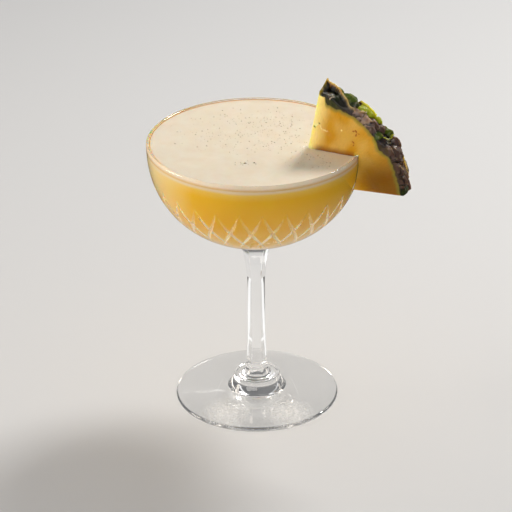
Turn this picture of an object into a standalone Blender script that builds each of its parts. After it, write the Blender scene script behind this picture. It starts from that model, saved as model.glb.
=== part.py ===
# A cocktail in a cut coupe glass: the glass, the cloudy drink with its layer of foam,
# and a wedge of pineapple slit onto the rim.
# Metres, +Z up. The origin is the centre of the foot's underside.

import math
import random

import bmesh
import bpy
from mathutils import Matrix, Vector

MM = 0.001
GAP = 0.3 * MM  # clearance between pieces that touch
COLLECTION = "cut_coupe_cocktail"

# Glass: bowl
RIM_HEIGHT = 129.8 * MM
RIM_RADIUS = 49.0 * MM
BOWL_DEPTH = 48.5 * MM  # outside, rim to underside
BOWL_ROUNDNESS = 2.25  # exponent of the bowl's curve, 2 would be an ellipse
RIM_WALL = 1.6 * MM
BOWL_FLOOR = 4.0 * MM
BOWL_ROWS_OUTSIDE = 13
BOWL_ROWS_INSIDE = 9
TURN_STEPS = 56  # twice the number of cuts

# Glass: stem, six flat sides with one facing the front
STEM_RADIUS = 4.15 * MM  # to its corners
STEM_SIDES = 6
STEM_STRAIGHT_LOW = 33.0 * MM
STEM_STRAIGHT_HIGH = 57.0 * MM
STEM_FLARE = 3.5 * MM  # added to the radius by the top of the long flare
STEM_SPREAD = 3.2 * MM  # added again, in the last centimetre under the bowl
STEM_JOIN = 82.0 * MM  # where the flare is widest
STEM_TOP = 83.3 * MM  # inside the bowl's floor
STEM_LOW_FLARE = 0.76 * MM
STEM_FOOT_RING = 7.8 * MM
STEM_RING_HEIGHT = 11.0 * MM
STEM_FILLET_TOP = 15.3 * MM
STEM_BOTTOM = 6.0 * MM  # inside the collar

# Glass: foot
FOOT_RADIUS = 37.9 * MM
FOOT_EDGE = 1.8 * MM
COLLAR_TOP_RADIUS = 10.7 * MM
COLLAR_HEIGHT = 11.0 * MM
COLLAR_BASE_RADIUS = 13.6 * MM
COLLAR_BASE_HEIGHT = 4.4 * MM

# Glass: slanting V cuts that cross in a band of kites and diamonds
CUTS_AROUND = 28
CUT_TIP_AZIMUTH = math.radians(-8.93)  # from the front, towards +X
CUT_TIP_DEPTH = 13.5 * MM  # below the rim
CUT_CROSS_DEPTH = 26.5 * MM  # where neighbouring cuts first cross
CUT_END_DEPTH = 39.0 * MM
CUT_BEND = 1.52  # how fast a cut leans over on its way down
CUT_DEPTHS = {-1: 0.98 * MM, 1: 1.06 * MM}  # those leaning left, and those leaning right
CUT_SPREAD = 1.25  # half width of a cut over its depth
CUT_LIFT = 0.5 * MM  # how far a cutter stands proud of the wall
CUT_CLEAR = 0.08 * MM  # how far its edge is above the wall at either end
CUT_STATIONS = {-1: 6, 1: 7}  # sections along a cutter, unlike so that no two edges coincide

# Drink and foam
DRINK_TOP = 126.9 * MM
FOAM_TOP = 128.9 * MM

# Pineapple wedge, in its own plane: out over the rim, and up
WEDGE_CENTRE = Vector((21.9, -5.75, 108.9)) * MM  # of the rind's arc, on the front face
WEDGE_YAW = math.radians(-25.3)
WEDGE_THICKNESS = 8.0 * MM
WEDGE_POINT = Vector((-1.55, 1.85)) * MM  # from the centre to where the two knife cuts meet
WEDGE_LOW_CUT = math.radians(3.5)
WEDGE_HIGH_CUT = math.radians(79.2)
WEDGE_RADIUS = 48.5 * MM  # to the bottom of the grooves in the rind
WEDGE_ARC_STEPS = 24
WEDGE_TRIM_RADIUS = 58.0 * MM  # clear of every knob
WEDGE_EXCESS = 1.0 * MM  # what is trimmed off each cut face
LUMP_PITCH = 9.0 * MM
LUMP_ROWS = (0.2, 0.76)  # places across the thickness
LUMP_HALF_SIZE = (5.4 * MM, 3.6 * MM, 2.6 * MM)  # along the arc, across it, out of it
CREST_HALF_SIZE = (5.0 * MM, 3.2 * MM, 4.6 * MM)  # the tall knob at the top corner
LUMP_SEED = 7


def clear_scene():
    for obj in list(bpy.data.objects):
        bpy.data.objects.remove(obj, do_unlink=True)


def new_collection(name):
    collection = bpy.data.collections.new(name)
    bpy.context.scene.collection.children.link(collection)
    return collection


def principled(name, color, roughness, **inputs):
    material = bpy.data.materials.new(name)
    material.use_nodes = True
    shader = material.node_tree.nodes["Principled BSDF"]
    shader.inputs["Base Color"].default_value = (*color, 1.0)
    shader.inputs["Roughness"].default_value = roughness
    for key, value in inputs.items():
        shader.inputs[key.replace("_", " ")].default_value = value
    return material


def add_object(name, mesh, collection, material=None):
    obj = bpy.data.objects.new(name, mesh)
    collection.objects.link(obj)
    if material:
        mesh.materials.append(material)
    return obj


def as_cutter(obj):
    obj.hide_render = True
    obj.display_type = "WIRE"
    return obj


def boolean(obj, operation, other):
    modifier = obj.modifiers.new(f"{operation.lower()} {other.name}", "BOOLEAN")
    modifier.operation = operation
    modifier.solver = "EXACT"
    if isinstance(other, bpy.types.Collection):
        modifier.operand_type = "COLLECTION"
        modifier.collection = other
    else:
        modifier.object = other


def shade_by_area(obj):
    """Keeps flat faces flat and cut edges crisp under smooth shading."""
    modifier = obj.modifiers.new("weighted normals", "WEIGHTED_NORMAL")
    modifier.keep_sharp = True


def turned(name, profile, steps, collection, material=None):
    """A profile of (radius, height) points, turned round the Z axis."""
    mesh = bpy.data.meshes.new(name)
    edges = [(i, i + 1) for i in range(len(profile) - 1)]
    mesh.from_pydata([(r, 0.0, z) for r, z in profile], edges, [])
    obj = add_object(name, mesh, collection, material)
    screw = obj.modifiers.new("turn", "SCREW")
    screw.axis = "Z"
    screw.steps = steps
    screw.render_steps = steps
    screw.use_merge_vertices = True
    screw.merge_threshold = 1e-5
    screw.use_smooth_shade = True
    return obj


def bowl_radius(depth, radius=RIM_RADIUS, height=BOWL_DEPTH):
    """Radius of the bowl's curve at a depth below the rim."""
    return radius * math.sqrt(max(0.0, 1.0 - (depth / height) ** BOWL_ROUNDNESS))


def bowl_curve(radius, height, top_depth, rows):
    """(radius, height) points down the bowl's curve, closer together towards its pole."""
    first = math.asin(top_depth / height)
    turn = (math.pi / 2 - first) / rows
    points = []
    for row in range(rows + 1):
        depth = height * math.sin(first + turn * row)
        points.append((bowl_radius(depth, radius, height), RIM_HEIGHT - depth))
    points[-1] = (0.0, RIM_HEIGHT - height)
    return points


def bowl_profile(grow=0.0):
    """Up the inside, over the rounded rim and down the outside, with the wall thickened by grow."""
    half_wall = RIM_WALL / 2 + grow
    inside = (RIM_RADIUS - RIM_WALL - grow, BOWL_DEPTH - BOWL_FLOOR - grow)
    inner = bowl_curve(*inside, half_wall, BOWL_ROWS_INSIDE)
    outer = bowl_curve(RIM_RADIUS + grow, BOWL_DEPTH + grow, half_wall, BOWL_ROWS_OUTSIDE)
    middle = RIM_RADIUS - RIM_WALL / 2
    top = RIM_HEIGHT + grow
    shoulder = half_wall * math.cos(math.pi / 4)
    lip = [
        (middle - shoulder, top - half_wall + shoulder),
        (middle, top),
        (middle + shoulder, top - half_wall + shoulder),
    ]
    return inner[::-1] + lip + outer


def stem_radius(height):
    """Corner radius of the six-sided stem, straight in the middle and flared at both ends."""
    if height > STEM_STRAIGHT_HIGH:
        rise = (min(height, STEM_JOIN) - STEM_STRAIGHT_HIGH) / (STEM_JOIN - STEM_STRAIGHT_HIGH)
        return STEM_RADIUS + STEM_FLARE * rise**1.9 + STEM_SPREAD * rise**8
    fall = max(0.0, STEM_STRAIGHT_LOW - height) / (STEM_STRAIGHT_LOW - STEM_FILLET_TOP)
    return STEM_RADIUS + STEM_LOW_FLARE * fall**1.3


def stem_profile():
    """Down the flare, closer together towards the bowl, the straight and the lower flare."""
    high, low = STEM_STRAIGHT_HIGH, STEM_STRAIGHT_LOW
    heights = [STEM_TOP]
    heights += [STEM_JOIN - (STEM_JOIN - high) * (i / 8) ** 1.4 for i in range(9)]
    heights += [low - (low - STEM_FILLET_TOP) * i / 4 for i in range(5)]
    points = [(0.0, STEM_TOP)]
    points += [(stem_radius(z), z) for z in heights]
    # A quarter round spreads the stem onto the collar.
    start = stem_radius(STEM_FILLET_TOP)
    for angle in (math.radians(d) for d in (30, 58, 77, 90)):
        radius = start + (STEM_FOOT_RING - start) * (1 - math.cos(angle))
        fall = (STEM_FILLET_TOP - STEM_RING_HEIGHT) * math.sin(angle)
        points.append((radius, STEM_FILLET_TOP - fall))
    points += [(STEM_FOOT_RING, STEM_BOTTOM), (0.0, STEM_BOTTOM)]
    return points


def foot_profile():
    """Flat-topped collar, hollow flare, then a low dome out to a rounded edge."""
    points = [(0.0, COLLAR_HEIGHT), (COLLAR_TOP_RADIUS - 0.5 * MM, COLLAR_HEIGHT)]
    flare = COLLAR_BASE_RADIUS - COLLAR_TOP_RADIUS
    drop = COLLAR_HEIGHT - COLLAR_BASE_HEIGHT
    for part in (0.08, 0.4, 0.7, 0.9, 1.0):
        points.append((COLLAR_TOP_RADIUS + flare * part**2.2, COLLAR_HEIGHT - drop * part))
    edge_start = FOOT_RADIUS - FOOT_EDGE / 2
    for part in (0.25, 0.5, 0.75, 1.0):
        fall = (COLLAR_BASE_HEIGHT - FOOT_EDGE) * (1 - part) ** 1.6
        points.append(
            (COLLAR_BASE_RADIUS + (edge_start - COLLAR_BASE_RADIUS) * part, FOOT_EDGE + fall)
        )
    round_edge = FOOT_EDGE / 2
    for angle in (math.radians(d) for d in (45, 0, -45, -90)):
        out, up = round_edge * math.cos(angle), round_edge * math.sin(angle)
        points.append((edge_start + out, round_edge + up))
    points.append((0.0, 0.0))
    return points


def on_bowl(azimuth, depth):
    """The point on the outside of the bowl at an azimuth from the front and a depth."""
    radius = bowl_radius(depth)
    return Vector(
        (radius * math.sin(azimuth), -radius * math.cos(azimuth), RIM_HEIGHT - depth)
    )


def cut_place(part, lean):
    """(azimuth, depth) a share of the way down a cut that leans left (-1) or right (1)."""
    depth = CUT_TIP_DEPTH + (CUT_END_DEPTH - CUT_TIP_DEPTH) * part
    share = (depth - CUT_TIP_DEPTH) / (CUT_CROSS_DEPTH - CUT_TIP_DEPTH)
    return lean * math.pi / CUTS_AROUND * share**CUT_BEND, depth


def cut_section(part, lean):
    """Three corners of the V wheel's section at a share of the way down a cut."""
    near = 0.01
    azimuth, depth = cut_place(part, lean)
    here = on_bowl(azimuth, depth)
    before = on_bowl(*cut_place(max(part - near, 0.0), lean))
    along = on_bowl(*cut_place(part + near, lean)) - before
    around = Vector((math.cos(azimuth), math.sin(azimuth), 0.0))
    down = on_bowl(azimuth, depth + near * MM) - on_bowl(azimuth, depth - near * MM)
    outward = down.cross(around).normalized()
    side = outward.cross(along).normalized()
    sunk = CUT_DEPTHS[lean] * math.sin(math.pi * part) - CUT_CLEAR
    half_width = CUT_SPREAD * (sunk + CUT_LIFT)
    top = here + outward * CUT_LIFT
    return [top + side * half_width, here - outward * sunk, top - side * half_width]


def add_cuts(name, lean, collection):
    """All cuts of one lean, each the V section carried down the bowl."""
    stations = CUT_STATIONS[lean]
    bm = bmesh.new()
    for turn in range(CUTS_AROUND):
        azimuth = CUT_TIP_AZIMUTH + turn * 2 * math.pi / CUTS_AROUND
        rotation = Matrix.Rotation(azimuth, 3, "Z")
        rings = [
            [bm.verts.new(rotation @ corner) for corner in cut_section(part, lean)]
            for part in (i / (stations - 1) for i in range(stations))
        ]
        bm.faces.new(rings[0])
        bm.faces.new(rings[-1][::-1])
        for ring, following in zip(rings, rings[1:]):
            for i in range(3):
                j = (i + 1) % 3
                bm.faces.new((ring[i], following[i], following[j], ring[j]))
    bmesh.ops.triangulate(bm, faces=bm.faces)
    bmesh.ops.recalc_face_normals(bm, faces=bm.faces)
    mesh = bpy.data.meshes.new(name)
    bm.to_mesh(mesh)
    bm.free()
    return as_cutter(add_object(name, mesh, collection))


def build_glass(parts, cutters):
    material = principled(
        "cut_crystal", (0.97, 0.98, 0.98), 0.02, IOR=1.54, Transmission_Weight=1.0
    )
    glass = turned("glass", bowl_profile(), TURN_STEPS, parts, material)
    boolean(glass, "DIFFERENCE", add_cuts("cuts_left", -1, cutters))
    boolean(glass, "DIFFERENCE", add_cuts("cuts_right", 1, cutters))
    stem = as_cutter(turned("stem_blank", stem_profile(), STEM_SIDES, cutters))
    foot = as_cutter(turned("foot_blank", foot_profile(), TURN_STEPS, cutters))
    boolean(glass, "UNION", stem)
    boolean(glass, "UNION", foot)
    shade_by_area(glass)


def liquid_profile(bottom, top):
    """A filling's profile: its flat top, then down the inner wall less the clearance."""
    radius = RIM_RADIUS - RIM_WALL - GAP
    height = BOWL_DEPTH - BOWL_FLOOR - GAP
    points = [(0.0, top)]
    if bottom is None:
        return points + bowl_curve(radius, height, RIM_HEIGHT - top, BOWL_ROWS_INSIDE)
    points += [(bowl_radius(RIM_HEIGHT - z, radius, height), z) for z in (top, bottom)]
    return points + [(0.0, bottom)]


def build_drink(parts, wedge_space):
    material = principled("cloudy_juice", (0.80, 0.42, 0.06), 0.25, Subsurface_Weight=0.3)
    drink = turned("drink", liquid_profile(None, DRINK_TOP), TURN_STEPS, parts, material)
    boolean(drink, "DIFFERENCE", wedge_space)
    shade_by_area(drink)


def build_foam(parts, wedge_space):
    material = principled("foam", (0.80, 0.70, 0.58), 0.5, Subsurface_Weight=0.3)
    profile = liquid_profile(DRINK_TOP + GAP, FOAM_TOP)
    foam = turned("foam", profile, TURN_STEPS, parts, material)
    boolean(foam, "DIFFERENCE", wedge_space)
    shade_by_area(foam)


def wedge_direction(angle):
    """Unit vector in the wedge's plane, at an angle above level."""
    return Vector((math.cos(angle), math.sin(angle)))


def arc_ends(point, radius):
    """Angles at which the lower and upper cuts from a point cross a circle about the centre."""
    angles = []
    for cut in (WEDGE_LOW_CUT, WEDGE_HIGH_CUT):
        direction = wedge_direction(cut)
        nearest = -point.dot(direction)
        end = point + direction * (nearest + math.sqrt(nearest**2 - point.length_squared + radius**2))
        angles.append(math.atan2(end.y, end.x))
    return angles


def wedge_outline(grow=0.0, arc_radius=WEDGE_RADIUS):
    """Pie slice in the wedge's own plane: its point, then the arc from the lower to the upper cut."""
    half_angle = (WEDGE_HIGH_CUT - WEDGE_LOW_CUT) / 2
    back = grow / math.sin(half_angle)
    point = WEDGE_POINT - back * wedge_direction(WEDGE_LOW_CUT + half_angle)
    radius = arc_radius + grow
    low, high = arc_ends(point, radius)
    steps = [low + (high - low) * i / WEDGE_ARC_STEPS for i in range(WEDGE_ARC_STEPS + 1)]
    return [point] + [radius * wedge_direction(angle) for angle in steps]


def wedge_matrix():
    """Carries the wedge's plane (out, up) and its thickness (away from the front) to the rim."""
    return Matrix.Translation(WEDGE_CENTRE) @ Matrix.Rotation(WEDGE_YAW, 4, "Z")


def slab(name, outline, thickness, collection, material=None):
    """An outline in the wedge's plane as a solid, centred on the wedge's thickness."""
    curve = bpy.data.curves.new(name, "CURVE")
    curve.dimensions = "2D"
    curve.fill_mode = "BOTH"
    curve.extrude = thickness / 2
    spline = curve.splines.new("POLY")
    spline.points.add(len(outline) - 1)
    for point, place in zip(spline.points, outline):
        point.co = (place.x, place.y, 0.0, 1.0)
    spline.use_cyclic_u = True
    guide = bpy.data.objects.new(name, curve)
    collection.objects.link(guide)
    bpy.context.view_layer.update()
    graph = bpy.context.evaluated_depsgraph_get()
    mesh = bpy.data.meshes.new_from_object(guide.evaluated_get(graph))
    bpy.data.objects.remove(guide, do_unlink=True)
    bm = bmesh.new()
    bm.from_mesh(mesh)
    bmesh.ops.remove_doubles(bm, verts=bm.verts, dist=1e-6)
    upright = Matrix.Rotation(math.pi / 2, 4, "X")
    centred = Matrix.Translation((0.0, WEDGE_THICKNESS / 2, 0.0))
    bmesh.ops.transform(bm, matrix=centred @ upright, verts=bm.verts)
    bmesh.ops.recalc_face_normals(bm, faces=bm.faces)
    bm.to_mesh(mesh)
    bm.free()
    obj = add_object(name, mesh, collection, material)
    obj.matrix_world = wedge_matrix()
    return obj


def add_lump(name, angle, across, size, collection):
    """One knob of the rind: a squashed ball on the wedge's arc."""
    bm = bmesh.new()
    bmesh.ops.create_uvsphere(bm, u_segments=12, v_segments=7, radius=1.0)
    mesh = bpy.data.meshes.new(name)
    bm.to_mesh(mesh)
    bm.free()
    mesh.shade_smooth()
    lump = as_cutter(add_object(name, mesh, collection))
    along, over, out = size
    place = Matrix.Translation(
        (WEDGE_RADIUS * math.cos(angle), across, WEDGE_RADIUS * math.sin(angle))
    )
    turn = Matrix.Rotation(math.pi / 2 - angle, 4, "Y")
    lump.matrix_world = wedge_matrix() @ place @ turn @ Matrix.Diagonal((along, over, out, 1.0))


def add_lumps(collection):
    """Rows of knobs along the rind, staggered, with a tall one at the top corner."""
    draw = random.Random(LUMP_SEED)
    step = LUMP_PITCH / WEDGE_RADIUS
    low, high = arc_ends(WEDGE_POINT, WEDGE_RADIUS)
    for row, across in enumerate(LUMP_ROWS):
        angle = low + step * (0.3 + 0.5 * row)
        while angle < high:
            size = [half * draw.uniform(0.9, 1.1) for half in LUMP_HALF_SIZE]
            name = f"lump_{row}_{len(collection.objects)}"
            add_lump(name, angle, across * WEDGE_THICKNESS, size, collection)
            angle += step * draw.uniform(0.92, 1.08)
    crest_place = LUMP_ROWS[-1] * WEDGE_THICKNESS
    add_lump("crest", high, crest_place, CREST_HALF_SIZE, collection)


def build_wedge(parts, cutters):
    """The slice with its rind knobs, trimmed flush with its cut faces, and slit for the rim."""
    material = principled("pineapple", (0.78, 0.44, 0.05), 0.35, Subsurface_Weight=0.2)
    thickness = WEDGE_THICKNESS + 2 * WEDGE_EXCESS
    wedge = slab("pineapple_wedge", wedge_outline(WEDGE_EXCESS), thickness, parts, material)
    lumps = bpy.data.collections.new("rind_lumps")
    cutters.children.link(lumps)
    add_lumps(lumps)
    boolean(wedge, "UNION", lumps)
    outline = wedge_outline(arc_radius=WEDGE_TRIM_RADIUS)
    trim = slab("cut_faces", outline, WEDGE_THICKNESS, cutters)
    boolean(wedge, "INTERSECT", as_cutter(trim))
    wall = turned("wall_space", bowl_profile(GAP), TURN_STEPS, cutters)
    boolean(wedge, "DIFFERENCE", as_cutter(wall))
    shade_by_area(wedge)


def main():
    clear_scene()
    parts = new_collection(COLLECTION)
    cutters = new_collection("cutters")
    build_glass(parts, cutters)
    build_wedge(parts, cutters)
    space = slab("wedge_space", wedge_outline(GAP), WEDGE_THICKNESS + 2 * GAP, cutters)
    as_cutter(space)
    build_drink(parts, space)
    build_foam(parts, space)


main()
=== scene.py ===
import math
from functools import partial

import bmesh
import bpy
import numpy as np
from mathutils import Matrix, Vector


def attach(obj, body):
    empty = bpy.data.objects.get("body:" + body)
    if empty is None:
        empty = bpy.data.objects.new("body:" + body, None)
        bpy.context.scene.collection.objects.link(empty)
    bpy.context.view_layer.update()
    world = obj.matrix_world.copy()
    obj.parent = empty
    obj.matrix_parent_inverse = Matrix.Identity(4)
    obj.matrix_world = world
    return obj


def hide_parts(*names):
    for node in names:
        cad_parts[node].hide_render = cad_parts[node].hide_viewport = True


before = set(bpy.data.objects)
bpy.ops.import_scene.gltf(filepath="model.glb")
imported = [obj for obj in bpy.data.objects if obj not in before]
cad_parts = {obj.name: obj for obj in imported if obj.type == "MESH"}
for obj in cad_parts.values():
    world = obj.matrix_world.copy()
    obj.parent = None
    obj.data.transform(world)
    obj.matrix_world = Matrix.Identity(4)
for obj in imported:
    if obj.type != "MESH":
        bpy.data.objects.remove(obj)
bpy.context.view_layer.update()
mm = 0.001
turn = 2 * math.pi

print("frame loaded, with nodes", sorted(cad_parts))


# Small tools

def linearColour(hexColour):
    # sRGB hex to the linear numbers that Blender works in, with alpha 1.
    value = hexColour.lstrip("#")
    srgb = np.array([int(value[i:i + 2], 16) / 255 for i in (0, 2, 4)])
    linear = np.where(srgb <= 0.04045, srgb / 12.92, ((srgb + 0.055) / 1.055) ** 2.4)
    return (*linear, 1.0)


def smoothStep(low, high, values):
    # 0 below low, 1 above high, and a smooth cubic between.
    share = np.clip((values - low) / (high - low), 0, 1)
    return share * share * (3 - 2 * share)


def gridFaces(rows, columns, closed=False):
    # Quads over a grid of rows x columns points. closed joins the last column to the first.
    row, column = np.meshgrid(np.arange(rows - 1), np.arange(columns - (not closed)), indexing="ij")
    following = (column + 1) % columns
    quads = [row * columns + column, row * columns + following]
    quads += [(row + 1) * columns + following, (row + 1) * columns + column]
    return np.stack(quads, axis=-1).reshape(-1, 4)


def addObject(name, data):
    made = bpy.data.objects.new(name, data)
    bpy.context.scene.collection.objects.link(made)
    return made


def meshPiece(name, points, faces, weld=0.0, split=False):
    # A new object at the origin from points in mm. weld, in mm, closes seams and poles and turns
    # the faces outwards, and split then cuts them into triangles.
    mesh = bpy.data.meshes.new(name)
    faces = faces if isinstance(faces, list) else faces.tolist()
    mesh.from_pydata((np.asarray(points, float).reshape(-1, 3) * mm).tolist(), [], faces)
    piece = addObject(name, mesh)
    if weld:
        shape = bmesh.new()
        shape.from_mesh(mesh)
        bmesh.ops.remove_doubles(shape, verts=shape.verts, dist=weld * mm)
        bmesh.ops.dissolve_degenerate(shape, edges=shape.edges, dist=weld * mm * 0.1)
        if split:
            bmesh.ops.triangulate(shape, faces=shape.faces)
        bmesh.ops.recalc_face_normals(shape, faces=shape.faces)
        shape.to_mesh(mesh)
        shape.free()
    mesh.update()
    return piece


def revolve(name, profile, columns, radiusAt=None):
    # Turns a profile of (radius, height) rows round Z. radiusAt(radii, angles) may reshape its rows.
    angles = np.arange(columns) * turn / columns
    radius, height = (np.repeat(profile[:, i:i + 1], columns, axis=1) for i in (0, 1))
    if radiusAt is not None:
        radius = radiusAt(radius, angles)
    points = np.stack([radius * np.cos(angles), radius * np.sin(angles), height], axis=-1)
    return meshPiece(name, points, gridFaces(len(profile), columns, True), weld=1e-4)


def ballPiece(name, centres, sizes, rings, sides):
    # Many balls in one mesh: the unit ball on a grid of rings by sides, times each ball's radius,
    # moved to its centre.
    polar, around = np.linspace(0, math.pi, rings)[:, None], np.arange(sides) * turn / sides
    ball = [np.sin(polar) * np.cos(around), np.sin(polar) * np.sin(around), np.cos(polar)]
    ball = np.stack(np.broadcast_arrays(*ball), axis=-1).reshape(-1, 3)
    points = ball[None] * sizes[:, None, None] + centres[:, None]
    faces = gridFaces(rings, sides, True)[None] + (np.arange(len(sizes)) * len(ball))[:, None, None]
    return meshPiece(name, points, faces.reshape(-1, 4), weld=1e-3)


def cutAway(piece, cutter):
    # Takes the cutter out of the piece for good, and removes the cutter.
    modifier = piece.modifiers.new("cut", "BOOLEAN")
    modifier.operation = "DIFFERENCE"
    modifier.solver = "MANIFOLD"
    modifier.object = cutter
    graph = bpy.context.evaluated_depsgraph_get()
    result = bpy.data.meshes.new_from_object(piece.evaluated_get(graph))
    piece.modifiers.clear()
    piece.data = result
    bpy.data.objects.remove(cutter)


def readPlaces(items, field):
    # The vertices' "co" or the faces' "center" as an array in mm.
    places = np.empty(len(items) * 3)
    items.foreach_get(field, places)
    return places.reshape(-1, 3) / mm


def alongOver(x, y, angle):
    # How far places are along a direction, angle degrees from x towards y, and how far across it.
    cosine, sine = math.cos(math.radians(angle)), math.sin(math.radians(angle))
    return x * cosine + y * sine, -x * sine + y * cosine


def hideFrom(piece, *rays):
    # Leaves an object out of what the named kinds of ray see.
    for ray in rays:
        setattr(piece, "visible_" + ray, False)


def setNode(node, values):
    # Fills a node's inputs, by name or number, with numbers, hex colours, sockets to link, or
    # nodes whose first output to link. "stops" lists a colour ramp's (place, hex) pairs, and all
    # else is a property of the node.
    for key, value in values.items():
        if isinstance(value, bpy.types.Node):
            value = value.outputs[0]
        if isinstance(value, bpy.types.NodeSocket):
            node.id_data.links.new(value, node.inputs[key])
        elif key == "stops":
            elements = node.color_ramp.elements
            while len(elements) < len(value):
                elements.new(1.0)
            for element, (place, hexColour) in zip(elements, value):
                element.position, element.color = place, linearColour(hexColour)
        elif isinstance(key, int) or key in node.inputs:
            node.inputs[key].default_value = linearColour(value) if isinstance(value, str) else value
        else:
            setattr(node, key, value)


def finishPiece(piece, materials, node=None, sharp=35):
    # Shading, materials, the root body it rides, and the CAD node it replaces hidden.
    piece.data.shade_smooth()
    piece.data.set_sharp_from_angle(angle=math.radians(sharp))
    piece.data.materials.clear()
    for material in materials:
        piece.data.materials.append(material)
    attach(piece, "root")
    if node:
        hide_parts(node)
    triangles = sum(len(face.vertices) - 2 for face in piece.data.polygons)
    print("made", piece.name, "with", triangles, "triangles")


def addNode(tree, kind, values=()):
    # One shader node with its settings and links, as setNode takes them.
    made = tree.nodes.new("ShaderNode" + kind)
    setNode(made, dict(values))
    return made


def newMaterial(name, values):
    # A material, what adds nodes to it, its main shader with these values, and its output node.
    material = bpy.data.materials.new(name)
    material.use_nodes = True
    tree = material.node_tree
    tree.nodes.clear()
    shader = addNode(tree, "BsdfPrincipled", values)
    return material, partial(addNode, tree), shader, addNode(tree, "OutputMaterial", {"Surface": shader})


# Camera and light

view = {
    "distance": 1239.5,  # mm from the point looked at
    "lookAt": (0.065, 0.0, 71.58),
    "elevation": 26.88,  # degrees above level
    "roll": -0.009,  # radians
    "lens": 189.6,
    "sensor": 36.0,
}


def addCamera():
    camera = addObject("camera", bpy.data.cameras.new("camera"))
    camera.data.lens = view["lens"]
    camera.data.sensor_width = view["sensor"]
    camera.data.clip_end = 100
    rise = math.radians(view["elevation"])
    target = Vector(view["lookAt"]) * mm
    away = Vector((0, -math.cos(rise), math.sin(rise)))
    camera.location = target + away * view["distance"] * mm
    camera.rotation_mode = "QUATERNION"
    camera.rotation_quaternion = (-away).to_track_quat("-Z", "Y")
    camera.rotation_mode = "XYZ"
    camera.rotation_euler.rotate_axis("Z", view["roll"])
    bpy.context.scene.camera = camera
    print("camera set")


studio = {
    "floorHex": "#E3E4E6",
    "floorHalf": 8000,  # half its side, in mm
    "floorLevel": -0.2,
    "worldHex": "#F6F7F9",
    "worldStrength": 0.19,
    # name: (place in mm, looks at in mm, width and height in mm, watts, hex)
    "lamps": {
        "backRight": ((480, 570, 900), (0, 0, 120), (280, 280), 7.8, "#FFFCF7"),
        "topSoft": ((-250, 300, 1000), (0, 0, 110), (800, 600), 0.3, "#FFFCF7"),
        "leftStrip": ((-1350, 60, 430), (0, 0, 110), (400, 1200), 2.9, "#FFF4E6"),
        "rightStrip": ((900, 330, 330), (0, 0, 90), (160, 900), 0.39, "#FFF4E6"),
        "frontFill": ((-460, -1000, 330), (0, 0, 90), (1000, 420), 5.3, "#FFFBF4"),
    },
    "stripBeam": 80,  # degrees, so that the strips leave the floor near them alone
    # Standing cards that only the glass sees, which draw lines in its stem and foot: kind,
    # distance from the axis, from and to in degrees from the back, and the heights they span
    "cards": [
        ("white", 20, 43.9, 47.2, 5, 52),
        ("black", 20, 40.6, 43.4, 5, 52),
        ("white", 20, 6.2, 8.0, 5, 52),
        ("white", 20, -47.6, -44.6, 5, 52),
        ("black", 20, -44.1, -41.4, 5, 52),
        ("white", 20, -13.2, -11.4, 5, 52),
        ("white", 44, -46, -26, 50, 82),
        ("amber", 44, -46, -36, 45, 49.5),
        ("amber", 44, 28, 36, 50, 82),
        ("white", 44, 37, 40, 50, 82),
        ("white", 44, 16, 70, 0, 2.2),
        ("white", 44, -70, -16, 0, 2.2),
    ],
    # What the glass mirrors from the table: where it starts, is full dark, and ends, in mm
    "darkTable": (55, 190, 900),
    "ringLevel": 0.1,
    "ringSteps": 48,
    "cardSteps": 49,
    "cardGlow": 1.1,
    "amberGlow": 0.5,
}


def cardMaterial(name, hexColour, glow):
    # A card that glows is black itself, so that lamps add nothing to it.
    values = {
        "Base Color": "#000000" if glow else hexColour,
        "Roughness": 1.0,
        "Specular IOR Level": 0.0,
        "Emission Color": hexColour,
        "Emission Strength": glow,
    }
    return newMaterial(name, values)[0]


def addCard(name, radius, start, end, low, high, material):
    # Part of an upright ring, between two angles from the back and two heights. It throws no
    # light or shade, and shows only in what the glass bends.
    angle = np.radians(np.linspace(start, end, studio["cardSteps"]))
    x, y = radius * np.sin(angle), radius * np.cos(angle)
    points = [np.column_stack([x, y, 0 * angle + height]) for height in (low, high)]
    card = meshPiece(name, np.concatenate(points), gridFaces(2, len(angle)))
    card.data.materials.append(material)
    hideFrom(card, "camera", "diffuse", "shadow", "glossy")


def addFloor():
    half, level = studio["floorHalf"], studio["floorLevel"]
    corners = [(-half, -half, level), (half, -half, level), (half, half, level), (-half, half, level)]
    floor = meshPiece("floor", corners, [[0, 1, 2, 3]])
    values = {"Base Color": studio["floorHex"], "Roughness": 0.6, "Specular IOR Level": 0.1}
    floor.data.materials.append(newMaterial("matt painted board", values)[0])


def addDarkTable():
    # A flat ring that only mirroring rays see, clear at its inner edge and darker outwards.
    inner, full, outer = studio["darkTable"]
    around = np.arange(studio["ringSteps"]) * turn / studio["ringSteps"]
    x, y = np.cos(around), np.sin(around)
    rings = [np.column_stack([r * x, r * y, 0 * x + studio["ringLevel"]]) for r in (inner, outer)]
    table = meshPiece("darkTable", np.concatenate(rings), gridFaces(2, len(around), True))
    values = {"Base Color": "#181716", "Specular IOR Level": 0.0}
    material, add, shader = newMaterial("grey felt ring that fades inwards", values)[:3]
    place = add("TexCoord").outputs["Object"]
    reach = add("VectorMath", {"operation": "LENGTH", 0: place}).outputs["Value"]
    fade = add("MapRange", {"From Min": inner * mm, "From Max": full * mm, "Value": reach})
    setNode(shader, {"Alpha": fade})
    table.data.materials.append(material)
    hideFrom(table, "camera", "diffuse", "shadow", "transmission")


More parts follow.
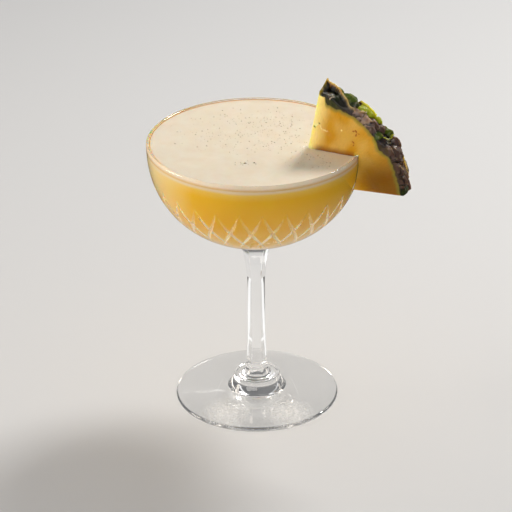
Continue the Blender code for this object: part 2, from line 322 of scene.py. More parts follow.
def addStudio():
    s = studio
    addFloor()
    world = bpy.data.worlds.new("studio")
    world.use_nodes = True
    setNode(world.node_tree.nodes["Background"], {"Color": s["worldHex"], "Strength": s["worldStrength"]})
    bpy.context.scene.world = world
    for name, (place, target, size, watts, hexColour) in s["lamps"].items():
        lamp = bpy.data.lights.new(name, "AREA")
        lamp.shape = "RECTANGLE"
        lamp.size, lamp.size_y = size[0] * mm, size[1] * mm
        lamp.energy = watts
        lamp.color = linearColour(hexColour)[:3]
        if "Strip" in name:
            lamp.spread = math.radians(s["stripBeam"])
        holder = addObject(name, lamp)
        holder.location = Vector(place) * mm
        holder.rotation_euler = (Vector(target) - Vector(place)).to_track_quat("-Z", "Y").to_euler()
        hideFrom(holder, "camera")
    materials = {
        "white": cardMaterial("glowing white card", "#FFFFFF", s["cardGlow"]),
        "black": cardMaterial("grey felt card", "#242322", 0.0),
        "amber": cardMaterial("amber card", "#C88A2A", s["amberGlow"]),
    }
    for index, (kind, *place) in enumerate(s["cards"]):
        addCard("card" + str(index), *place, materials[kind])
    addDarkTable()
    bpy.context.scene.view_settings.view_transform = "Standard"
    print("studio lit with", len(s["lamps"]), "lamps and", len(s["cards"]), "cards")


# The coupe glass

glassShape = {
    "rimHeight": 129.8,
    "rimRadius": 49.0,
    "bowlDepth": 48.5,
    "bowlPower": 2.25,  # 2 would be an ellipse
    "rimWall": 1.6,
    "bowlFloor": 4.0,
    "filletTopRadius": 13.2,  # where the bowl starts to run into the stem
    "filletBottom": 80.2,
    "filletPull": 1.8,  # how far the bowl's own slope carries on
    "joinPull": (0.6, 1.5),  # where the stem's flare pulls from, out and up from the join
    "stemRadius": 4.15,
    "stemFlare": 3.5,
    "stemSpread": 3.2,
    "stemJoin": 82.0,
    "straightHigh": 57.0,
    "straightLow": 33.0,
    "lowFlare": 0.76,
    "ringTop": 15.3,
    "ringRadius": 7.8,
    "collarHeight": 11.0,
    "collarDish": 0.5,
    "collarRound": 0.45,
    "collarTopRadius": 10.7,
    "collarBaseRadius": 13.6,
    "collarBaseHeight": 4.4,
    "footRadius": 37.9,
    "footEdge": 1.8,
    "cornerSoftness": 70,  # higher is a sharper six-sided stem
    "columns": 168,
    "innerRows": 44,
    "outerRows": 90,
    "bending": 1.56,  # of light
}
cutShape = {
    "around": 28,
    "tipAzimuth": -8.93,  # degrees from the front, towards +X
    "tipDepth": 13.5,
    "crossDepth": 26.5,
    "endDepth": 39.0,
    "bend": 1.52,
    "depths": {-1: 1.12, 1: 1.2},
    "spread": 0.88,
    "satin": 0.42,
    "lift": 0.5,
    "clear": 0.08,
    "stations": {-1: 24, 1: 27},
    "facetDepth": 0.05,  # under the wall's face before a face counts as cut
}


def bowlRadius(depth, radius=glassShape["rimRadius"], height=glassShape["bowlDepth"]):
    # Super-ellipse: radius times the root of 1 - (depth / height) ^ 2.25.
    return radius * np.sqrt(np.clip(1 - (depth / height) ** glassShape["bowlPower"], 0, 1))


def bowlCurve(radius, height, topDepth, rows):
    # Rows down the bowl's curve to its pole, closer together where it turns under.
    angle = np.linspace(math.asin(topDepth / height), math.pi / 2, rows)
    depth = height * np.sin(angle)
    points = np.column_stack([bowlRadius(depth, radius, height), glassShape["rimHeight"] - depth])
    points[-1, 0] = 0
    return points


def innerRadius(height, shift=0.0):
    # Radius of the bowl's inner wall at a height, moved outwards into the wall by shift.
    g = glassShape
    radius, deep = g["rimRadius"] - g["rimWall"] + shift, g["bowlDepth"] - g["bowlFloor"] + shift
    return bowlRadius(g["rimHeight"] - height, radius, deep)


def stemRadius(height):
    # Straight middle, flared both ways by powers of the distance from it.
    g = glassShape
    rise = np.clip((height - g["straightHigh"]) / (g["stemJoin"] - g["straightHigh"]), 0, 1)
    fall = np.clip((g["straightLow"] - height) / (g["straightLow"] - g["ringTop"]), 0, 1)
    spread = g["stemFlare"] * rise**1.9 + g["stemSpread"] * rise**8 + g["lowFlare"] * fall**1.3
    return g["stemRadius"] + spread


def bezier(start, startPull, endPull, end, rows):
    # Cubic Bezier between two points, without its first point.
    share = np.linspace(0, 1, rows + 1)[1:, None]
    corners = [np.array(p, float) for p in (start, startPull, endPull, end)]
    weights = [(1 - share) ** 3, 3 * share * (1 - share) ** 2, 3 * share**2 * (1 - share), share**3]
    return sum(weight * corner for weight, corner in zip(weights, corners))


def glassProfile():
    # From the inner pole up over the rim, down the bowl and stem, over the foot and under it.
    g = glassShape
    half = g["rimWall"] / 2
    deep = g["bowlDepth"] - g["bowlFloor"]
    inner = bowlCurve(g["rimRadius"] - g["rimWall"], deep, half, g["innerRows"])[::-1]
    arc = np.linspace(math.pi, 0, 11)[1:-1]
    middle = g["rimRadius"] - half
    lip = np.column_stack([middle + half * np.cos(arc), g["rimHeight"] - half + half * np.sin(arc)])
    outer = bowlCurve(g["rimRadius"], g["bowlDepth"], half, g["outerRows"])
    outer = outer[outer[:, 0] > g["filletTopRadius"]]
    slope = outer[-1] - outer[-2]
    pulled = outer[-1] + slope / np.linalg.norm(slope) * g["filletPull"]
    low = g["filletBottom"]
    join = np.array([stemRadius(low), low])
    fillet = bezier(outer[-1], pulled, join + g["joinPull"], join, 12)
    flare = np.linspace(low, g["straightHigh"], 30)[1:]
    heights = np.concatenate([flare, np.linspace(g["straightLow"], g["ringTop"], 12)])
    stem = np.column_stack([stemRadius(heights), heights])
    quarter = np.linspace(0, math.pi / 2, 11)[1:]
    start, ringFall = stemRadius(g["ringTop"]), g["ringTop"] - g["collarHeight"]
    ringReach = start + (g["ringRadius"] - start) * (1 - np.cos(quarter))
    ring = np.column_stack([ringReach, g["ringTop"] - ringFall * np.sin(quarter)])
    share = np.linspace(0, 1, 9)[1:]
    soft = g["collarRound"]
    topEdge = g["collarTopRadius"] - soft
    dishReach = g["ringRadius"] + (topEdge - g["ringRadius"]) * share
    dish = np.column_stack([dishReach, g["collarHeight"] - g["collarDish"] * np.sin(math.pi * share) ** 2])
    corner = np.linspace(math.pi / 2, 0.1, 6)[1:]
    shoulderHeight = g["collarHeight"] - soft + soft * np.sin(corner)
    shoulder = np.column_stack([topEdge + soft * np.cos(corner), shoulderHeight])
    share = np.linspace(0, 1, 16)[2:]
    sideReach = g["collarTopRadius"] + (g["collarBaseRadius"] - g["collarTopRadius"]) * share**2.2
    drop = g["collarHeight"] - g["collarBaseHeight"]
    side = np.column_stack([sideReach, g["collarHeight"] - drop * share])
    edgeStart = g["footRadius"] - g["footEdge"] / 2
    share = np.linspace(0, 1, 25)[1:]
    fall = (g["collarBaseHeight"] - g["footEdge"]) * (1 - share) ** 1.6
    domeReach = g["collarBaseRadius"] + (edgeStart - g["collarBaseRadius"]) * share
    dome = np.column_stack([domeReach, g["footEdge"] + fall])
    arc = np.linspace(math.pi / 2, -math.pi / 2, 11)[1:]
    edgeReach = edgeStart + g["footEdge"] / 2 * np.cos(arc)
    edge = np.column_stack([edgeReach, g["footEdge"] / 2 * (1 + np.sin(arc))])
    under = np.array([[edgeStart * 0.6, 0], [edgeStart * 0.25, 0], [0, 0]])
    return np.concatenate([inner, lip, outer, fillet, stem, ring, dish, shoulder, side, dome, edge, under])


def sixSided(profile):
    # How far a row is a hexagon: none on the bowl and the collar, all of it on the stem.
    g = glassShape
    radius, height = profile.T
    down = smoothStep(g["rimHeight"] - g["bowlDepth"] + 2.2, 77.0, height)
    low = smoothStep(g["collarHeight"] + 0.2, g["ringTop"], height)
    inside = np.arange(len(profile)) < g["innerRows"]
    onStem = (radius < 14.5) & (height < 85) & ~inside
    return np.where(onStem, down * low, 0)[:, None]


def cutSections(lean):
    # A V section carried down each cut: (stations, 3 corners, 3), in mm, for a cut at azimuth 0.
    c = cutShape
    part = np.linspace(0, 1, c["stations"][lean])

    def place(share):
        depth = c["tipDepth"] + (c["endDepth"] - c["tipDepth"]) * share
        along = np.clip((depth - c["tipDepth"]) / (c["crossDepth"] - c["tipDepth"]), 0, None)
        azimuth = lean * math.pi / c["around"] * along ** c["bend"]
        radius, height = bowlRadius(depth), glassShape["rimHeight"] - depth
        point = np.column_stack([radius * np.sin(azimuth), -radius * np.cos(azimuth), height])
        return point, azimuth, depth

    here, azimuth, depth = place(part)
    along = place(part + 0.005)[0] - place(np.clip(part - 0.005, 0, None))[0]
    slope = (bowlRadius(depth + 0.01) - bowlRadius(depth - 0.01)) / 0.02
    outward = np.column_stack([np.sin(azimuth), -np.cos(azimuth), slope])
    outward /= np.linalg.norm(outward, axis=1, keepdims=True)
    side = np.cross(outward, along)
    side /= np.linalg.norm(side, axis=1, keepdims=True)
    sunk = (c["depths"][lean] * np.sin(math.pi * part) - c["clear"])[:, None]
    width = c["spread"] * (sunk + c["lift"])
    top = here + outward * c["lift"]
    return np.stack([top + side * width, here - outward * sunk, top - side * width], axis=1)


def cutWheels(lean):
    # All the cutters that lean one way, as one mesh of closed bars.
    section = cutSections(lean)
    x, y, z = section.reshape(-1, 3).T
    last = len(z) - 3
    bar = gridFaces(len(section), 3, True).tolist() + [[0, 1, 2], [last + 2, last + 1, last]]
    bars, faces = [], []
    for index in range(cutShape["around"]):
        azimuth = cutShape["tipAzimuth"] + index * 360 / cutShape["around"]
        bars.append(np.column_stack([*alongOver(x, y, -azimuth), z]))
        faces += [[corner + index * len(z) for corner in face] for face in bar]
    return meshPiece("cutWheels", np.concatenate(bars), faces, weld=1e-4)


def clearCrystal(name, satin):
    # Crystal, blown and cut, then fire polished: clear, very smooth, with cut edges that flash.
    # Lamps reach what is inside it straight through, as thin glass lets them, and so does light
    # that would stay caught in it. satin is the share of light that the wheel's fine scratches
    # scatter, which makes the cut facets show cream. A cloth has left hazy patches on the foot.
    values = {"Base Color": "#FFFFFF", "IOR": glassShape["bending"], "Transmission Weight": 1.0}
    material, add, shader, output = newMaterial(name, values)
    place = add("TexCoord").outputs["Object"]
    smear = add("Mapping", {"Scale": (420, 420, 60), "Vector": place})
    streaks = add("TexNoise", {"Scale": 1.0, "Detail": 3.0, "Vector": smear})
    rough = add("MapRange", {"From Min": 0.5, "From Max": 0.8, "To Max": 0.05, "Value": streaks})
    setNode(shader, {"Roughness": rough})
    x, y, z = add("SeparateXYZ", {0: place}).outputs
    besides = add("Math", {"operation": "ABSOLUTE", 0: x})
    folded = add("CombineXYZ", {0: besides, 1: y, 2: z})
    away = add("VectorMath", {"operation": "DISTANCE", 0: folded, 1: (0.0146, -0.0226, 0.003)})
    away = away.outputs["Value"]
    patch = add("MapRange", {"From Min": 0.013, "From Max": 0.003, "Value": away})
    around = add("Math", {"operation": "ARCTAN2", 0: x, 1: y})
    reach = add("VectorMath", {"operation": "LENGTH", 0: place}).outputs["Value"]
    polar = add("CombineXYZ", {0: around, 1: reach})
    stroke = add("Mapping", {"Scale": (14, 1700, 1), "Vector": polar})
    wiped = add("TexNoise", {"Scale": 1.0, "Detail": 4.0, "Vector": stroke})
    lines = add("MapRange", {"From Min": 0.44, "From Max": 0.66, "To Max": 0.8, "Value": wiped})
    haze = add("Math", {"operation": "MULTIPLY", 0: patch, 1: lines})
    growing = {"From Min": 0.113, "From Max": 0.098, "To Min": satin * 0.08, "To Max": satin}
    lower = add("MapRange", {**growing, "Value": z})
    scattered = add("Math", {"operation": "ADD", "use_clamp": True, 0: haze, 1: lower})
    warmth = add("MapRange", {"From Min": 0.02, "From Max": 0.08, "Value": z})
    dustTint = add("Mix", {"data_type": "RGBA", 0: warmth, 6: "#FFFFFF", 7: "#FFEFD8"}).outputs[2]
    dust = add("BsdfDiffuse", {"Color": dustTint})
    hazy = add("MixShader", {0: scattered, 1: shader, 2: dust})
    ray = add("LightPath").outputs
    lampRay = add("Math", {"operation": "MAXIMUM", 0: ray["Is Shadow Ray"], 1: ray["Is Diffuse Ray"]})
    trapped = add("Math", {"operation": "GREATER_THAN", 0: ray["Ray Depth"], 1: 5.5})
    straightOn = add("Math", {"operation": "MAXIMUM", 0: lampRay, 1: trapped})
    clear = add("BsdfTransparent", {"Color": "#FAFAFA"})
    mixed = add("MixShader", {0: straightOn, 1: hazy, 2: clear})
    setNode(output, {"Surface": mixed})
    return material


def makeGlass():
    profile = glassProfile()
    share = sixSided(profile)
    soft = glassShape["cornerSoftness"]

    def reshape(radius, angles):
        # Hexagon with softened corners: the p-norm of the distances to its six faces.
        faces = np.radians(30 + 60 * np.arange(6))[:, None]
        reach = np.clip(np.cos(angles[None, :] - faces), 0, None)
        hexagon = math.cos(math.pi / 6) * (reach**soft).sum(axis=0) ** (-1 / soft)
        return radius * (1 + share * (hexagon[None, :] - 1))

    glass = revolve("coupeGlass", profile, glassShape["columns"], reshape)
    cutAway(glass, cutWheels(-1))
    cutAway(glass, cutWheels(1))
    finishes = [clearCrystal("blown crystal", 0.0), clearCrystal("wheel cut crystal", cutShape["satin"])]
    finishPiece(glass, finishes, "glass", sharp=18)
    x, y, z = readPlaces(glass.data.polygons, "center").T
    depth, reach = glassShape["rimHeight"] - z, np.hypot(x, y)
    under = cutShape["facetDepth"]
    sunk = (reach < bowlRadius(depth) - under) & (reach > innerRadius(z) + 2 * under)
    inCut = sunk & (depth > cutShape["tipDepth"]) & (depth < cutShape["endDepth"])
    glass.data.polygons.foreach_set("material_index", inCut.astype(np.int32))
    print("cut facets:", int(inCut.sum()))


# The pineapple wedge

wedgeShape = {
    "centre": (21.9, -5.75, 108.9),  # of the rind's arc, on the front face
    "yaw": -25.3,  # degrees, outwards over the rim
    "thickness": 8.0,
    "point": (-1.55, 1.85),  # from the centre, out and up, to where the two knife cuts meet
    "lowCut": 3.5,  # degrees above level
    "highCut": 79.2,
    "skin": 48.5,  # radius to the grooves in the rind
    "edgeRound": 0.8,
    "slitGap": 0.15,  # between the fruit and the glass
    "frontFall": 1.5,  # how much lower the rind is along its front edge
    "rows": 120,
    "turns": 240,
    "across": 40,
}
# Where the flesh ends, as (degrees, radius in mm)
fleshBorder = [
    (6, 47.6), (12, 47.3), (20, 47.0), (28, 47.4), (34.7, 44.6), (42, 46.1), (50, 46.5), (60, 46.2),
    (65, 45.2), (70, 44.4), (75, 44.3), (76.6, 45.4), (77.6, 48.4), (78.6, 54.0),
]
# Tones of the fruit. Some stand in for light or shade, as noted above each.
fruitTones = {
    "flesh": "#D0980A",
    # The flesh's own paler cells, and also a painted glow along the upper cut
    "paleFleshAndGlow": "#FFEE9C",
    # Painted shade for the flesh low down
    "fleshLowShade": "#875608",
    # Painted contact shade, partly juice soaking, where the flesh stands in foam
    "fleshSoakAndShade": "#8E4A00",
    "underRind": "#8C8434",
    "rindCut": "#4A4420",
    "speck": "#A2500E",
    # Painted highlight for wet tears in the flesh
    "paintedGlint": "#FFF0A8",
    "dot": "#4A3A1C",
    # Painted shade for hollows, folds and the rind's upper part
    "hollow": "#2B2A18",
    "bark": "#4A3A34",
    "darkGreen": "#2E3B14",
    "green": "#52651C",
    # Green-yellow rind, partly a painted glow where light shines through it from behind
    "lime": "#A9B427",
    "greyPurple": "#5A443B",
    "pinkGrey": "#9C8172",
    # Pale waxy bract, partly painted highlights on ridges and wrinkle crests
    "paleWaxAndHighlight": "#D9C9A8",
    "brown": "#A88A52",
    "olive": "#9C8C24",
    # Painted rim light along the rind's back edge, over a brown-orange bract edge
    "rimLitOrange": "#D08A3C",
}
toneColours = {name: np.array(linearColour(value)[:3]) for name, value in fruitTones.items()}
# Lobes of the rind: degrees round, mm across, half length, half width, turn in degrees, rise, tone
rindLobes = [
    (8.4, 2.8, 2.9, 3.4, 0, 1.0, "darkGreen"),
    (9.0, 7.4, 3.6, 2.2, 0, 0.9, "greyPurple"),
    (17.0, 3.6, 6.4, 3.9, 0, 2.0, "greyPurple"),
    (20.0, 7.6, 5.2, 2.4, 0, 1.7, "greyPurple"),
    (28.0, 4.4, 5.6, 3.4, 14, 3.0, "greyPurple"),
    (33.4, 7.0, 3.8, 2.0, 0, 3.3, "greyPurple"),
    (40.2, 6.6, 3.0, 2.2, -14, 3.0, "green"),
    (43.6, 4.4, 2.8, 2.4, 18, 2.1, "greyPurple"),
    (41.8, 1.3, 2.4, 1.4, 0, 0.7, "green"),
    (47.8, 6.3, 2.5, 1.7, 0, 2.7, "lime"),
    (48.0, 2.6, 3.3, 2.4, -8, 1.9, "greyPurple"),
    (52.3, 1.5, 3.6, 1.7, 8, 1.5, "pinkGrey"),
    (57.4, 1.3, 3.2, 1.4, -6, 1.2, "pinkGrey"),
    (55.6, 4.8, 5.2, 2.3, -10, 2.5, "lime"),
    (54.0, 8.0, 4.0, 1.8, 0, 1.9, "green"),
    (61.5, 3.6, 2.6, 2.0, 0, 2.3, "darkGreen"),
    (66.0, 5.2, 4.4, 3.0, 10, 3.2, "green"),
    (74.5, 7.4, 3.4, 1.8, 0, 2.3, "green"),
    (73.2, 2.2, 3.4, 2.4, 0, 0.45, "darkGreen"),
    (31.0, 0.9, 4.2, 1.7, 0, 1.3, "greyPurple"),
    (22.5, 0.7, 4.4, 1.7, 0, 1.35, "greyPurple"),
    (14.0, 0.7, 4.2, 1.7, 0, 1.1, "greyPurple"),
    (47.5, 0.8, 3.2, 1.5, 0, 1.0, "greyPurple"),
    (57.5, 0.5, 3.6, 1.3, 0, 0.7, "greyPurple"),
]
# Thin ridges and folds: (degrees, mm across, height) along each, half width, tone. A fold's
# height is below 0, and its dark hollow tone is painted shade.
rindRidges = [
    ([(81.8, -0.5, 0.7), (81.8, 3.4, 2.5), (81.8, 6.4, 4.1)], 2.7, "olive"),
    # Painted rim light along the back edge
    ([(81.8, 6.2, 4.0), (81.8, 7.4, 4.8), (81.8, 8.5, 4.5)], 1.1, "rimLitOrange"),
    (
        [
            (82.3, 7.0, 4.8), (77.5, 6.3, 3.9), (72.9, 5.1, 3.2),
            (69.9, 3.2, 2.6), (65.2, 1.5, 1.9), (59.6, 0.7, 1.4),
        ],
        0.42,
        "brown",
    ),
    ([(76.4, 0.6, 0.55), (74.8, 1.5, 0.75)], 0.3, "paleWaxAndHighlight"),
    ([(75.4, 0.0, 0.4), (74.0, 0.9, 0.6), (72.8, 1.5, 0.6)], 0.3, "pinkGrey"),
    ([(74.2, -0.3, 0.4), (72.6, 0.7, 0.6)], 0.26, "paleWaxAndHighlight"),
    ([(77.2, 1.8, 0.6), (75.6, 2.9, 0.8)], 0.3, "pinkGrey"),
    ([(60.4, 0.2, 1.0), (57.6, 1.9, 2.3), (54.6, 3.0, 2.4)], 0.34, "pinkGrey"),
    ([(56.6, -0.2, 0.8), (53.6, 1.1, 2.0), (50.2, 1.7, 2.2), (47.8, 3.1, 2.3)], 0.42, "pinkGrey"),
    ([(49.8, -0.2, 0.6), (46.6, 0.9, 1.4), (43.4, 1.1, 1.3)], 0.3, "pinkGrey"),
    ([(25.6, 6.9, 2.2), (20.8, 5.6, 2.4), (16.6, 5.2, 2.5), (12.6, 5.8, 1.8)], 0.42, "brown"),
    ([(24.4, 1.0, 1.2), (19.6, 2.3, 2.2), (14.4, 2.2, 2.0)], 0.4, "pinkGrey"),
    ([(51.0, 6.2, 3.0), (56.0, 6.8, 3.1), (61.0, 6.6, 2.8)], 0.6, "lime"),
    ([(37.4, 6.8, 3.3), (36.0, 5.2, 2.3), (37.4, 3.4, 1.5), (39.0, 2.2, 1.1)], 0.5, "lime"),
    ([(38.0, 2.8, 0.8), (36.6, 4.6, 1.1)], 0.28, "paleWaxAndHighlight"),
    ([(36.9, 2.6, 0.7), (35.6, 4.5, 1.0)], 0.28, "paleWaxAndHighlight"),
    ([(35.8, 2.5, 0.7), (34.7, 4.2, 1.0)], 0.28, "paleWaxAndHighlight"),
    ([(32.8, 0.6, 1.0), (30.6, 1.0, 1.3)], 0.34, "pinkGrey"),
    ([(25.0, -0.5, -0.9), (25.6, 2.8, -1.0), (24.2, 5.6, -0.8)], 0.7, "hollow"),
    ([(17.6, -0.5, -0.6), (16.8, 3.2, -0.7), (18.4, 6.0, -0.5)], 0.6, "hollow"),
    ([(12.2, -0.5, -1.0), (11.6, 4.0, -1.1), (12.8, 8.5, -0.9)], 0.8, "hollow"),
]
# Marks in the flesh: degrees round, radius, half size round and out, turn, tone, relief in mm.
# The glint marks are painted highlights where wet tears in the flesh catch the light.
fleshMarks = [
    (51.9, 41.0, 0.9, 0.42, 12, "speck", -0.12),
    (50.3, 39.7, 0.8, 0.36, 72, "speck", -0.12),
    (53.2, 40.2, 0.6, 0.3, -35, "speck", -0.1),
    (49.6, 41.2, 0.4, 0.3, 0, "speck", -0.1),
    (48.1, 36.0, 0.8, 0.36, -12, "speck", -0.12),
    (46.4, 35.0, 0.45, 0.3, 55, "speck", -0.1),
    (78.4, 32.8, 1.3, 0.28, -52, "paintedGlint", 0.3),
    (75.0, 32.6, 1.2, 0.24, 50, "paintedGlint", 0.3),
    (71.2, 31.9, 1.7, 0.24, -4, "paintedGlint", 0.3),
    (59.9, 36.6, 0.5, 0.4, 0, "paintedGlint", 0.25),
    (76.9, 34.0, 0.5, 0.35, 0, "dot", -0.2),
    (80.3, 31.6, 0.6, 0.35, 30, "dot", -0.2),
]


def toWorld(out, across, up):
    # From the wedge's own plane (out over the rim, up) and thickness to the frame, in mm.
    x, y, z = wedgeShape["centre"]
    right, back = alongOver(out, across, -wedgeShape["yaw"])
    return np.stack([x + right, y + back, z + up], axis=-1)


def toWedge(points):
    # Degrees round, radius and mm across for points of the frame, in mm.
    x, y, z = (points[..., i] - wedgeShape["centre"][i] for i in range(3))
    out, across = alongOver(x, y, wedgeShape["yaw"])
    return np.degrees(np.arctan2(z, out)), np.hypot(out, z), across


def blendTone(base, tone, share):
    # The base colours moved towards a tone by each point's share.
    return base * (1 - share[..., None]) + share[..., None] * toneColours[tone]


def cutReach(turned, radius=wedgeShape["skin"], point=wedgeShape["point"]):
    # How far a line from the point, at an angle in radians, goes before it meets the circle of
    # that radius about the centre, and at which angle about the centre it meets it.
    along = -point[0] * np.cos(turned) - point[1] * np.sin(turned)
    reach = along + np.sqrt(along**2 - point[0] ** 2 - point[1] ** 2 + radius**2)
    return reach, np.arctan2(point[1] + reach * np.sin(turned), point[0] + reach * np.cos(turned))


def ripple(seed, scale, *axes):
    # Smooth seeded noise: a sum of ten sine waves in random directions, about -1 to 1.
    draw = np.random.default_rng(seed)
    total = 0.0
    for _ in range(10):
        phase = draw.uniform(0, turn)
        direction = draw.normal(size=len(axes))
        direction *= draw.uniform(0.6, 1.6) / (scale * np.linalg.norm(direction))
        total = total + np.sin(sum(d * a for d, a in zip(direction, axes)) * turn + phase)
    return total / 4


def nearLine(x, y, places):
    # Distance to a line of straight stretches, and the third value of its nearest place.
    best, value = np.full(np.shape(x), 1e9), np.zeros(np.shape(x))
    for (ax, ay, a), (bx, by, b) in zip(places, places[1:]):
        share = ((x - ax) * (bx - ax) + (y - ay) * (by - ay)) / ((bx - ax) ** 2 + (by - ay) ** 2)
        share = np.clip(share, 0, 1)
        distance = np.hypot(x - ax - share * (bx - ax), y - ay - share * (by - ay))
        value = np.where(distance < best, a + share * (b - a), value)
        best = np.minimum(best, distance)
    return best, value


def rindRelief(degrees, across, fine=True):
    # Height over the grooves, and linear colour. Both come from the highest of the lobes, each a
    # flat-topped dome, then wrinkles that run along the rind, then the ridges and folds. Painted
    # shade darkens the creases between them and the rind's upper part, and a painted highlight pales
    # the wrinkles' crests. Without fine it stops at the lobes.
    perDegree = math.radians(1) * wedgeShape["skin"]
    degrees, across = np.broadcast_arrays(degrees, across)
    along = degrees * perDegree
    warpedAlong = along + 0.7 * perDegree * ripple(31, 5.0, along, across)
    warpedAcross = across + 0.35 * ripple(32, 4.0, along, across)
    height = 0.15 + 0 * degrees
    runnerUp = np.zeros(degrees.shape)
    colour = np.zeros(degrees.shape + (3,)) + toneColours["bark"]
    # Painted shade: the rind's upper part, past 63 degrees, starts from the dark hollow tone.
    colour = blendTone(colour, "hollow", smoothStep(63, 68, degrees))
    for place, side, length, width, angle, rise, tone in rindLobes:
        far, over = alongOver(warpedAlong - place * perDegree, warpedAcross - side, angle)
        distance = (np.abs(far) / length) ** 2.1 + (np.abs(over) / width) ** 2.1
        lobe = rise * np.clip(1 - distance, 0, 1) ** 0.6 * (1 - 0.16 * far / length)
        above = lobe > height
        runnerUp = np.where(above, height, np.maximum(runnerUp, lobe))
        height = np.where(above, lobe, height)
        colour[above] = toneColours[tone]
    if not fine:
        return height, colour
    # Painted shade darkens the creases between lobes.
    creaseShade = 1 - smoothStep(0.0, 0.5, height - runnerUp)
    wrinkle = 0.17 * ripple(3, 1.5, along * 0.45, across) + 0.06 * ripple(5, 0.8, along, across)
    height = height + wrinkle
    for places, half, tone in rindRidges:
        line = [(place * perDegree, side, top) for place, side, top in places]
        distance, top = nearLine(warpedAlong, warpedAcross, line)
        near = np.clip(1 - distance / half, 0, 1)
        lifted = top - 1.6 * (1 - near)
        if tone == "hollow":
            height = height + top * near**1.2
        else:
            height = np.where((near > 0) & (lifted > height), lifted, height)
        share = 0.8 * smoothStep(0.15, 0.7, near)
        colour = blendTone(colour, tone, share)
        creaseShade = creaseShade * (1 - share)
    # Painted highlight pales the wrinkles' crests.
    crestHighlight = smoothStep(0.25, 0.9, wrinkle * 4) * 0.16 * (1 - creaseShade)
    colour = blendTone(colour, "paleWaxAndHighlight", crestHighlight) * (1 - 0.75 * creaseShade[..., None])
    alongFront = smoothStep(33, 40, degrees) * (1 - smoothStep(66, 76, degrees))
    return height - wedgeShape["frontFall"] * alongFront * (1 - smoothStep(0, 2.2, across)), colour


def fleshPaint(degrees, reach, across, inFoam):
    # Linear colour of the cut faces: gold, a painted glow paler towards the upper cut, painted shade
    # deeper low down, painted contact shade with some juice soaking where it stands in foam, the
    # marks, and olive then dark under the rind. The second result is how far beyond the flesh's
    # border a point is.
    w = wedgeShape
    high, angle = math.radians(w["highCut"]), np.radians(degrees)
    out, up = reach * np.cos(angle) - w["point"][0], reach * np.sin(angle) - w["point"][1]
    fromTop = out * math.sin(high) - up * math.cos(high)
    cloud = 0.5 + 0.5 * ripple(41, 9.0, degrees * 0.6, reach, across)
    # Painted shade for the flesh low down.
    lowShade = (1 - smoothStep(16, 42, degrees)) * smoothStep(24, 36, reach)
    beyond = reach - np.interp(degrees, *zip(*fleshBorder)) - 0.25 * ripple(21, 4.0, degrees, across)
    layers = [
        ("paleFleshAndGlow", 0.25 * np.clip(cloud, 0, 1)),
        # painted glow towards the upper cut
        ("paleFleshAndGlow", 0.95 * (1 - smoothStep(0.3, 8.0, fromTop))),
        ("fleshLowShade", 0.9 * lowShade),
        # painted contact shade, partly juice soaking
        ("fleshSoakAndShade", 0.85 * inFoam * smoothStep(1.0, 6.0, fromTop)),
        *((tone, fleshMark(degrees, reach, across, *mark)) for *mark, tone, lift in fleshMarks),
        ("underRind", 0.85 * smoothStep(-2.6, -0.5, beyond)),
        ("rindCut", smoothStep(-0.5, 0.15, beyond)),
    ]
    colour = np.zeros(degrees.shape + (3,)) + toneColours["flesh"]
    for tone, share in layers:
        colour = blendTone(colour, tone, share)
    return colour, beyond


def fleshMark(degrees, reach, across, place, out, halfRound, halfOut, angle):
    # 1 in the middle of a mark on the front face and 0 outside it, with a wobbly outline.
    along, over = alongOver((degrees - place) * reach * math.radians(1), reach - out, angle)
    distance = np.hypot(along / halfRound, over / halfOut) + 0.3 * ripple(51, 0.9, degrees, reach)
    return (1 - smoothStep(0.55, 1.25, distance)) * (across < 2)


